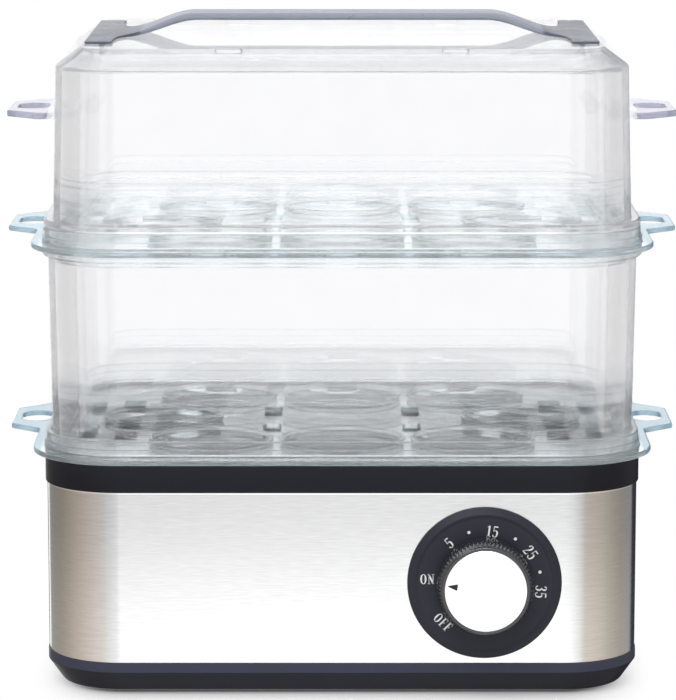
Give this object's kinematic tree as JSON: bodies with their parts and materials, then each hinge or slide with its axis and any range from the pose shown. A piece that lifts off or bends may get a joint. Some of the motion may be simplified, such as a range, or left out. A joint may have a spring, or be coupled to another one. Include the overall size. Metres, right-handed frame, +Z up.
{
  "type": "two-tier egg cooker",
  "caption": "Two-tier steam egg cooker: a heated base with a dial timer, clear egg trays and tier wall, and a clear lid with a strap handle.",
  "frame": {"origin": "middle of the body's footprint, on the table that the four feet stand on", "axes": "+Z up, -Y the front with the dial, +X to the right of someone who faces the front, along the body's long side"},
  "size_m": [0.2274, 0.169, 0.221],
  "materials": {
    "black_plastic": "fine matt black polypropylene",
    "rubber": "matt black rubber",
    "brushed_steel": "horizontally brushed stainless steel",
    "pan_steel": "satin stainless steel",
    "silicone": "grey silicone rubber",
    "zinc_steel": "zinc-plated steel",
    "bell_steel": "nickel-plated steel",
    "aluminium": "cast aluminium",
    "heater_tube": "dull sheathed heater tube",
    "ceramic_white": "unglazed white ceramic",
    "thermostat_brown": "dark phenolic",
    "brass": "plain brass",
    "white_plastic": "white nylon",
    "knob_face": "satin silver face",
    "pointer_black": "black",
    "wire_brown": "silicone insulation",
    "wire_black": "silicone insulation",
    "wire_blue": "silicone insulation",
    "wire_green": "silicone insulation",
    "clear_plastic": "clear glossy plastic",
    "tray_clear": "clear plastic with a cool tint at its edges",
    "handle_clear": "smoky translucent plastic"
  },
  "bodies": {
    "base": {"bottom_cover": "black_plastic", "case_screws": "zinc_steel", "rubber_feet": "rubber", "housing": "black_plastic", "steel_panel": "brushed_steel", "top_ring": "black_plastic", "heating_pan": "pan_steel", "pan_seal": "silicone", "pan_clamps": "zinc_steel", "clamp_screws": "zinc_steel", "heat_plate": "aluminium", "heating_element": "heater_tube", "element_insulators": "ceramic_white", "element_pins": "brass", "thermostat": "thermostat_brown", "thermostat_blades": "brass", "thermostat_screws": "zinc_steel", "thermal_fuse": "ceramic_white", "earth_stud": "zinc_steel", "earth_nut": "zinc_steel", "dial_plate": "black_plastic", "timer_plate": "zinc_steel", "timer_screws": "zinc_steel", "timer_case": "black_plastic", "mainspring": "zinc_steel", "timer_bell": "bell_steel", "timer_blades": "brass", "cord_gland": "black_plastic", "gland_nut": "black_plastic", "terminal_block": "white_plastic", "terminal_screws": "zinc_steel", "live_wire": "wire_brown", "switched_wire": "wire_black", "fuse_wire": "wire_black", "element_wire": "wire_black", "neutral_wire": "wire_blue", "earth_wire": "wire_green"},
    "knob": {"knob_grip": "black_plastic", "knob_cap": "knob_face", "knob_pointer": "pointer_black", "timer_shaft": "zinc_steel", "main_wheel": "brass"},
    "escapement": {"escape_pinion": "zinc_steel", "escape_wheel": "brass"},
    "lower_tray": {"lower_tray": "tray_clear"},
    "tier_wall": {"tier_wall": "clear_plastic"},
    "upper_tray": {"upper_tray": "tray_clear"},
    "lid": {"lid_shell": "clear_plastic", "lid_handle": "handle_clear"}
  },
  "joints": [
    {"name": "timer_turn", "type": "hinge", "parent": "base", "child": "knob", "pos_m": [0.047, -0.0784, 0.0386], "axis": [0, -1, 0], "range_deg": [-180, 51]},
    {"name": "escapement_turn", "type": "hinge", "parent": "base", "child": "escapement", "pos_m": [0.0641, -0.0784, 0.0386], "axis": [0, -1, 0], "range_deg": [-112, 392]},
    {"name": "lower_tray_lift", "type": "slide", "parent": "base", "child": "lower_tray", "axis": [0, 0, 1], "range_m": [0, 0.05]},
    {"name": "tier_wall_lift", "type": "slide", "parent": "lower_tray", "child": "tier_wall", "axis": [0, 0, 1], "range_m": [0, 0.08]},
    {"name": "upper_tray_lift", "type": "slide", "parent": "tier_wall", "child": "upper_tray", "axis": [0, 0, 1], "range_m": [0, 0.05]},
    {"name": "lid_lift", "type": "slide", "parent": "upper_tray", "child": "lid", "axis": [0, 0, 1], "range_m": [0, 0.1]}
  ],
  "couplings": [
    {"joint": "escapement_turn", "follows": "timer_turn", "ratio": -2.1667}
  ]
}
